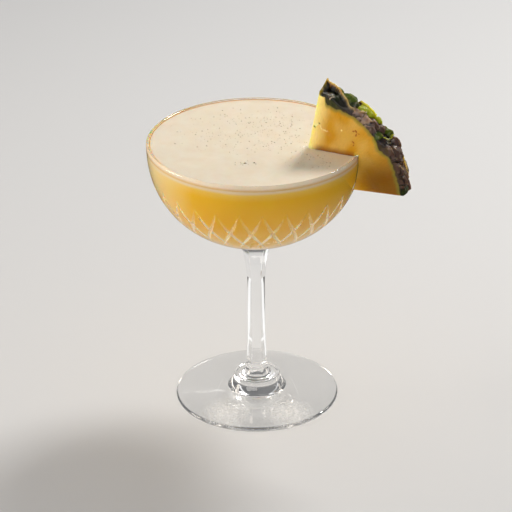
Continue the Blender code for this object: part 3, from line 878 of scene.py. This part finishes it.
def makeWedgeMesh():
    # Five grids that share their edges: two cut faces, two radial cuts and the skin. A point's
    # distances inside the five sides are then pulled onto a ball wherever they are under the
    # edge radius, which rounds every edge and corner alike.
    w = wedgeShape
    degrees = np.linspace(w["lowCut"], w["highCut"], w["turns"])
    share = 1 - (1 - np.linspace(0, 1, w["rows"])) ** 1.2
    across = w["thickness"] * (0.5 - 0.5 * np.cos(np.linspace(0, math.pi, w["across"])))
    perDegree = math.radians(1)

    def place(shareOut, around, side):
        around, side, shareOut = np.broadcast_arrays(around, side, shareOut)
        skin, aboutCentre = cutReach(np.radians(around))
        top = skin + rindRelief(np.degrees(aboutCentre), side)[0]
        reach = shareOut * top
        edge = np.maximum(w["edgeRound"] * smoothStep(1.0, 4.0, reach), 1e-6)
        low, high = ((apart * perDegree * reach) for apart in (around - w["lowCut"], w["highCut"] - around))
        inside = np.stack([np.minimum(low, high), np.minimum(side, w["thickness"] - side), top - reach])
        excess = np.maximum(edge - inside, 0)
        length = np.maximum(np.linalg.norm(excess, axis=0), edge)
        move = excess - excess * edge / length
        around = around + np.where(low < high, move[0], -move[0]) / (perDegree * np.maximum(reach, 1))
        side = side + np.where(side < w["thickness"] / 2, move[1], -move[1])
        reach = reach - move[2]
        angle = np.radians(around)
        out, up = w["point"][0] + reach * np.cos(angle), w["point"][1] + reach * np.sin(angle)
        return out, side, up, np.min(inside[[0, 2]], axis=0)

    parts = []
    shareGrid, aroundGrid = np.meshgrid(share, degrees, indexing="ij")
    for face in (0.0, w["thickness"]):
        out, side, up, free = place(shareGrid, aroundGrid, face)
        dent = 0.14 * ripple(11, 6.0, out, up) + 0.05 * ripple(12, 1.6, out, up)
        angle = np.degrees(np.arctan2(up, out))
        for *mark, tone, lift in fleshMarks:
            dent = dent - lift * fleshMark(angle, np.hypot(out, up), side, *mark)
        inwards = -1 if face else 1
        parts.append(toWorld(out, side + inwards * smoothStep(0.0, 1.2, free) * dent, up))
    aroundGrid, sideGrid = np.meshgrid(degrees, across, indexing="ij")
    parts.append(toWorld(*place(1.0, aroundGrid, sideGrid)[:3]))
    shareGrid, sideGrid = np.meshgrid(share, across, indexing="ij")
    for end in (w["lowCut"], w["highCut"]):
        parts.append(toWorld(*place(shareGrid, end, sideGrid)[:3]))
    points, faces, first = [], [], 0
    for grid in parts:
        points.append(grid.reshape(-1, 3))
        faces.append(gridFaces(*grid.shape[:2]) + first)
        first += grid.shape[0] * grid.shape[1]
    return meshPiece("pineappleSlice", np.concatenate(points), np.concatenate(faces), weld=1e-3)


def wallSpace(shift):
    # The bowl's wall near the rim, thicker by shift all round, as a closed turned ring.
    g = glassShape
    height = np.linspace(g["rimHeight"] + shift, 100.0, 40)
    depth = np.clip(g["rimHeight"] - height, 0, None)
    outer = np.column_stack([bowlRadius(depth) + shift, height])
    inner = np.column_stack([innerRadius(np.minimum(height, g["rimHeight"]), -shift), height])[::-1]
    return revolve("wallSpace", np.concatenate([outer, inner, outer[:1]]), g["columns"])


def fruitFlesh():
    # Ripe pineapple cut with a knife: wet and half clear, so light from behind glows in its edge.
    values = {
        "Roughness": 0.38,
        "IOR": 1.36,
        "Coat Weight": 0.15,
        "Coat Roughness": 0.12,
        "Subsurface Weight": 1.0,
        "Subsurface Radius": (1.0, 0.66, 0.2),
        "Subsurface Scale": 0.004,
    }
    material, add, shader = newMaterial("fresh cut pineapple flesh", values)[:3]
    tint = add("Attribute", {"attribute_name": "tint"}).outputs["Color"]
    grain = add("Attribute", {"attribute_name": "grain"}).outputs["Vector"]
    fibres = add("TexNoise", {"Scale": 1.0, "Detail": 3.0, "Vector": grain})
    faint = {"From Min": 0.3, "From Max": 0.7, "To Min": 0.94, "To Max": 1.05}
    cloudy = add("MapRange", {**faint, "Value": fibres})
    colour = add("VectorMath", {"operation": "SCALE", 0: tint, "Scale": cloudy})
    bump = add("Bump", {"Strength": 0.2, "Distance": 0.0002, "Height": fibres})
    setNode(shader, {"Base Color": colour, "Normal": bump})
    return material


def fruitRind():
    # Pineapple rind: tough waxy plates, green where sheltered and grey-purple where dry and scuffed.
    values = {"Roughness": 0.3, "Specular IOR Level": 0.3, "Coat Weight": 0.7, "Coat Roughness": 0.09}
    material, add, shader = newMaterial("waxy pineapple rind", values)[:3]
    place = add("TexCoord").outputs["Object"]
    tint = add("Attribute", {"attribute_name": "tint"}).outputs["Color"]
    blotch = add("TexNoise", {"Scale": 520.0, "Detail": 5.0, "Roughness": 0.65, "Vector": place})
    strong = {"From Min": 0.34, "From Max": 0.66, "To Min": 0.22, "To Max": 1.7}
    shade = add("MapRange", {**strong, "Value": blotch})
    colour = add("VectorMath", {"operation": "SCALE", 0: tint, "Scale": shade})
    grain = add("TexNoise", {"Scale": 1400.0, "Detail": 3.0, "Vector": place})
    bump = add("Bump", {"Strength": 0.6, "Distance": 0.0003, "Height": grain})
    setNode(shader, {"Base Color": colour, "Normal": bump})
    return material


def foamContact(points):
    # 1 where the flesh stands in foam inside the bowl, fading out just above it.
    inside = 1 - smoothStep(46.4, 47.4, np.hypot(points[:, 0], points[:, 1]))
    return inside * (1 - smoothStep(129.0, 132.4, points[:, 2]))


def paintWedge(piece):
    # Colour of every point, from where it is, and which faces are rind.
    points = readPlaces(piece.data.vertices, "co")
    degrees, reach, across = toWedge(points)
    height, rind = rindRelief(degrees, across)
    underSkin = rindRelief(degrees, np.clip(across, 1.6, 6.4), fine=False)[1]
    flesh, beyond = fleshPaint(degrees, reach, across, foamContact(points))
    cutRind = 0.6 * smoothStep(-0.4, 0.3, beyond)[:, None]
    flesh = flesh * (1 - cutRind) + underSkin * cutRind
    fromFace = np.minimum(across, wedgeShape["thickness"] - across)
    top = wedgeShape["skin"] + height - np.clip(0.9 - fromFace, 0, 1)
    share = smoothStep(-0.7, -0.1, reach - top)[:, None]
    tint = np.ones((len(degrees), 4))
    tint[:, :3] = flesh * (1 - share) + rind * share
    grain = np.column_stack([degrees * 1.3, reach * 0.4, across * 0.8])
    kept = (("tint", "FLOAT_COLOR", "color", tint), ("grain", "FLOAT_VECTOR", "vector", grain))
    for name, kind, field, values in kept:
        attribute = piece.data.attributes.new(name, kind, "POINT")
        attribute.data.foreach_set(field, values.astype(np.float32).ravel())
    centres = readPlaces(piece.data.polygons, "center")
    beyond = fleshPaint(*toWedge(centres), foamContact(centres))[1]
    piece.data.polygons.foreach_set("material_index", (beyond > 0.0).astype(np.int32))


def makeWedge():
    wedge = makeWedgeMesh()
    cutAway(wedge, wallSpace(wedgeShape["slitGap"]))
    paintWedge(wedge)
    finishPiece(wedge, [fruitFlesh(), fruitRind()], "pineapple_wedge", sharp=50)


# The drink and its foam

drinkShape = {
    "top": 127.0,
    "intoWall": 0.15,
    "underWedge": 0.6,  # how far drink and foam reach into the wedge
    "columns": 168,
    "bending": 1.34,  # of light
    # From its foot to the foam, in shares of the way up
    "tones": [
        (0.0, "#F6E2A0"), (0.1, "#EBB93A"), (0.5, "#E9B124"),
        (0.86, "#EBBA36"), (0.938, "#EDC45C"), (0.962, "#EAD0A8"),
    ],
}
foamShape = {
    "bottom": 126.9,
    "top": 128.9,
    "meniscusRise": 0.55,
    "meniscusReach": 2.2,
    "columns": 240,
    "dimples": [(-4.4, -22.1, 0.85), (-0.4, -21.7, 0.65)],  # x, y and radius
    "pinHoles": 480,
    "holeSize": (0.2, 0.3),  # smallest radius, and how much larger they get
    "holeGap": 0.06,  # at least, between two
    "holeReach": 43,  # furthest from the middle
    "clusters": [  # of pin-holes: x and y, how far they stray each way, and their share
        (-4, 14, 15, 11, 0.3), (8, 22, 9, 7, 0.2), (12, 2, 10, 9, 0.2),
        (-16, 8, 9, 9, 0.1), (27, -19, 6, 5, 0.14), (-4, -22, 3, 2, 0.06),
    ],
    "bubbles": 9,
    "bubbleSize": (0.32, 0.4),  # as for the holes
    "bubblesAt": (22.6, -6.4),  # where foam meets the fruit's point
    "edgeTones": [(0.0, "#FFFFFF"), (0.5, "#FFFFFF"), (0.7, "#FFF8EE"), (0.86, "#FFF2E0"), (0.96, "#B88A4E")],
    "seed": 41,
}


def wedgeSpace(shrink):
    # The wedge's plain pie shape, smaller by shrink, which the drink and the foam are cut round.
    w = wedgeShape
    cuts = np.radians([w["lowCut"], w["highCut"]])
    middle = cuts.mean()
    ahead = shrink / math.sin((cuts[1] - cuts[0]) / 2)
    point = np.array(w["point"]) + ahead * np.array([math.cos(middle), math.sin(middle)])
    reach = w["skin"] - 2
    angle = np.linspace(*cutReach(cuts, reach, point)[1], 30)
    out, up = np.concatenate([[point], reach * np.column_stack([np.cos(angle), np.sin(angle)])]).T
    count = len(out)
    sides = [toWorld(out, side, up) for side in (shrink, w["thickness"] - shrink)]
    ends = [list(range(count)), list(range(2 * count - 1, count - 1, -1))]
    faces = gridFaces(2, count, True).tolist() + ends
    return meshPiece("wedgeSpace", np.concatenate(sides), faces, weld=1e-4, split=True)


def cloudyJuice():
    # Pineapple and lime juice shaken with rum: cloudy, so light scatters back out of its first
    # millimetres. Where it wets the crystal it mirrors only slanting light, past 59 degrees.
    d = drinkShape
    values = {
        "Roughness": 0.6,
        "IOR": d["bending"],
        "Specular IOR Level": 0.0,
        "Subsurface Radius": (1.0, 0.7, 0.3),
        "Subsurface Scale": 0.002,
    }
    material, add, shader, output = newMaterial("shaken cloudy juice", values)
    place = add("TexCoord").outputs["Object"]
    x, y, z = add("SeparateXYZ", {0: place}).outputs
    cloud = add("TexNoise", {"Scale": 45.0, "Detail": 3.0, "Vector": place})
    wavy = add("Math", {"operation": "MULTIPLY_ADD", 0: cloud, 1: 0.0015, 2: z})
    level = add("MapRange", {"From Min": 0.086, "From Max": 0.1285, "Value": wavy})
    colour = add("ValToRGB", {"stops": d["tones"], "Fac": level})
    # Painted light: paler towards the left side, where the left lamp falls.
    leftLight = add("MapRange", {"From Min": -0.027, "From Max": -0.048, "To Max": 0.9, "Value": x})
    leftLitColour = add("Mix", {"data_type": "RGBA", 0: leftLight, 6: colour, 7: "#F6E3B4"}).outputs[2]
    depth = add("LightPath").outputs["Ray Depth"]
    direct = add("Math", {"operation": "LESS_THAN", 0: depth, 1: 2.5})
    # Painted light: rays past their second bounce see a cream glow, standing in for light carried along
    # inside the wall, instead of the juice.
    paintedWallGlow = add("Mix", {"data_type": "RGBA", 0: direct, 6: "#FFF0CC", 7: leftLitColour})
    belowFoam = add("MapRange", {"From Min": 0.1258, "From Max": 0.1235, "Value": z})
    setNode(shader, {"Base Color": paintedWallGlow.outputs[2], "Subsurface Weight": belowFoam})
    wetted = add("Fresnel", {"IOR": d["bending"] / glassShape["bending"]})
    share = add("Math", {"operation": "MULTIPLY", 0: wetted, 1: direct})
    mirror = add("BsdfGlossy", {"Roughness": 0.0, "Color": "#FFE8C2"})
    mixed = add("MixShader", {0: share, 1: shader, 2: mirror})
    setNode(output, {"Surface": mixed})
    return material


def juiceFoam():
    # Fine foam shaken from the juice: bubbles too small to see, soft and matt, a little cream. Its
    # pin-holes carry painted shade, it is golden in a thin line where it climbs the glass, and it
    # is yellower at its side low down, where juice soaks it.
    values = {
        "Roughness": 0.6,
        "Specular IOR Level": 0.18,
        "Subsurface Weight": 1.0,
        "Subsurface Radius": (1.0, 0.8, 0.6),
        "Subsurface Scale": 0.0007,
    }
    material, add, shader = newMaterial("fine shaken foam", values)[:3]
    place = add("TexCoord").outputs["Object"]
    x, y, z = add("SeparateXYZ", {0: place}).outputs
    cloud = add("TexNoise", {"Scale": 160.0, "Detail": 4.0, "Vector": place})
    colour = add("ValToRGB", {"stops": [(0.3, "#F2E3CC"), (0.7, "#F6EAD6")], "Fac": cloud})
    flat = add("CombineXYZ", {0: x, 1: y})
    reach = add("VectorMath", {"operation": "LENGTH", 0: flat}).outputs["Value"]
    inside = add("Math", {"operation": "LESS_THAN", 0: reach, 1: 0.0445})
    # Painted shade in the pin-holes, darker the deeper below the top.
    pitShadeDepth = add("MapRange", {"From Min": 0.12886, "From Max": 0.12862, "To Max": 0.75, "Value": z})
    sunk = add("Math", {"operation": "MULTIPLY", 0: inside, 1: pitShadeDepth})
    pitShaded = add("Mix", {"data_type": "RGBA", 0: sunk, 6: colour, 7: "#A08458"})
    outermost = add("MapRange", {"From Min": 0.0445, "From Max": 0.0475, "Value": reach})
    climbed = add("Math", {"operation": "GREATER_THAN", 0: z, 1: 0.12912})
    brim = add("Math", {"operation": "MULTIPLY", 0: outermost, 1: climbed})
    edge = add("ValToRGB", {"stops": foamShape["edgeTones"], "Fac": brim})
    upTheSide = add("MapRange", {"From Min": 0.1269, "From Max": 0.1284, "Value": z})
    footTint = add("Mix", {"data_type": "RGBA", 0: upTheSide, 6: "#F0CB86", 7: "#FFFFFF"})
    multiply = {"data_type": "RGBA", "blend_type": "MULTIPLY", 0: 1.0}
    ringed = add("Mix", {**multiply, 6: pitShaded.outputs[2], 7: edge})
    steeped = add("Mix", {**multiply, 6: ringed.outputs[2], 7: footTint.outputs[2]})
    cells = add("TexVoronoi", {"Scale": 2200.0, "Vector": place})
    bump = add("Bump", {"Strength": 0.25, "Distance": 0.0002, "Height": cells})
    setNode(shader, {"Base Color": steeped.outputs[2], "Normal": bump})
    return material


def makeDrink():
    d, g = drinkShape, glassShape
    radius = g["rimRadius"] - g["rimWall"] + d["intoWall"]
    height = g["bowlDepth"] - g["bowlFloor"] + d["intoWall"]
    wall = bowlCurve(radius, height, g["rimHeight"] - d["top"], 60)
    drink = revolve("cloudyDrink", np.concatenate([[[0, d["top"]]], wall]), d["columns"])
    cutAway(drink, wedgeSpace(d["underWedge"]))
    finishPiece(drink, [cloudyJuice()], "drink")


def foamProfile():
    # Flat top that climbs the wall by a falling exponential, then the wall, then a flat bottom.
    f = foamShape
    edge = float(innerRadius(f["top"] + f["meniscusRise"], drinkShape["intoWall"]))
    reach = np.concatenate([np.linspace(0, edge - 4, 16), np.linspace(edge - 4, edge, 18)[1:]])
    rise = f["meniscusRise"] * np.exp((reach - edge) / (f["meniscusReach"] / 3))
    height = np.linspace(f["top"] + f["meniscusRise"], f["bottom"], 8)[1:]
    side = np.column_stack([innerRadius(height, drinkShape["intoWall"]), height])
    return np.concatenate([np.column_stack([reach, f["top"] + rise]), side, [[0, f["bottom"]]]])


def pinHoles():
    # Small balls half sunk in the foam's top, to be cut out of it, in a few loose clusters.
    f = foamShape
    draw = np.random.default_rng(f["seed"])
    clusters = np.array(f["clusters"])
    kept = list(f["dimples"])
    while len(kept) < f["pinHoles"]:
        cluster = clusters[draw.choice(len(clusters), p=clusters[:, 4])]
        x, y = draw.normal(cluster[:2], cluster[2:4])
        size = f["holeSize"][0] + f["holeSize"][1] * draw.random() ** 2.0
        clear = all(math.hypot(x - a, y - b) > size + c + f["holeGap"] for a, b, c in kept)
        if math.hypot(x, y) < f["holeReach"] and clear:
            kept.append((x, y, size))
    x, y, size = np.array(kept).T
    return ballPiece("pinHoles", np.column_stack([x, y, f["top"] + 0.15 * size]), size, 7, 10)


def makeFoam():
    foam = revolve("shakenFoam", foamProfile(), foamShape["columns"])
    cutAway(foam, wedgeSpace(drinkShape["underWedge"]))
    cutAway(foam, pinHoles())
    finishPiece(foam, [juiceFoam()], "foam", sharp=40)


def makeBubbles():
    # A few bubbles of froth where the foam meets the fruit: balls sunk by a third.
    f = foamShape
    draw = np.random.default_rng(f["seed"] + 1)
    size = f["bubbleSize"][0] + f["bubbleSize"][1] * draw.random(f["bubbles"])
    place = draw.normal(f["bubblesAt"], (1.0, 0.6), (f["bubbles"], 2))
    bubbles = ballPiece("cornerBubbles", np.column_stack([place, f["top"] + 0.35 * size]), size, 9, 14)
    values = {"Base Color": "#FFF6E6", "Roughness": 0.12}
    finishPiece(bubbles, [newMaterial("white froth bubbles", values)[0]])


addCamera()
addStudio()
makeGlass()
makeDrink()
makeFoam()
makeBubbles()
makeWedge()
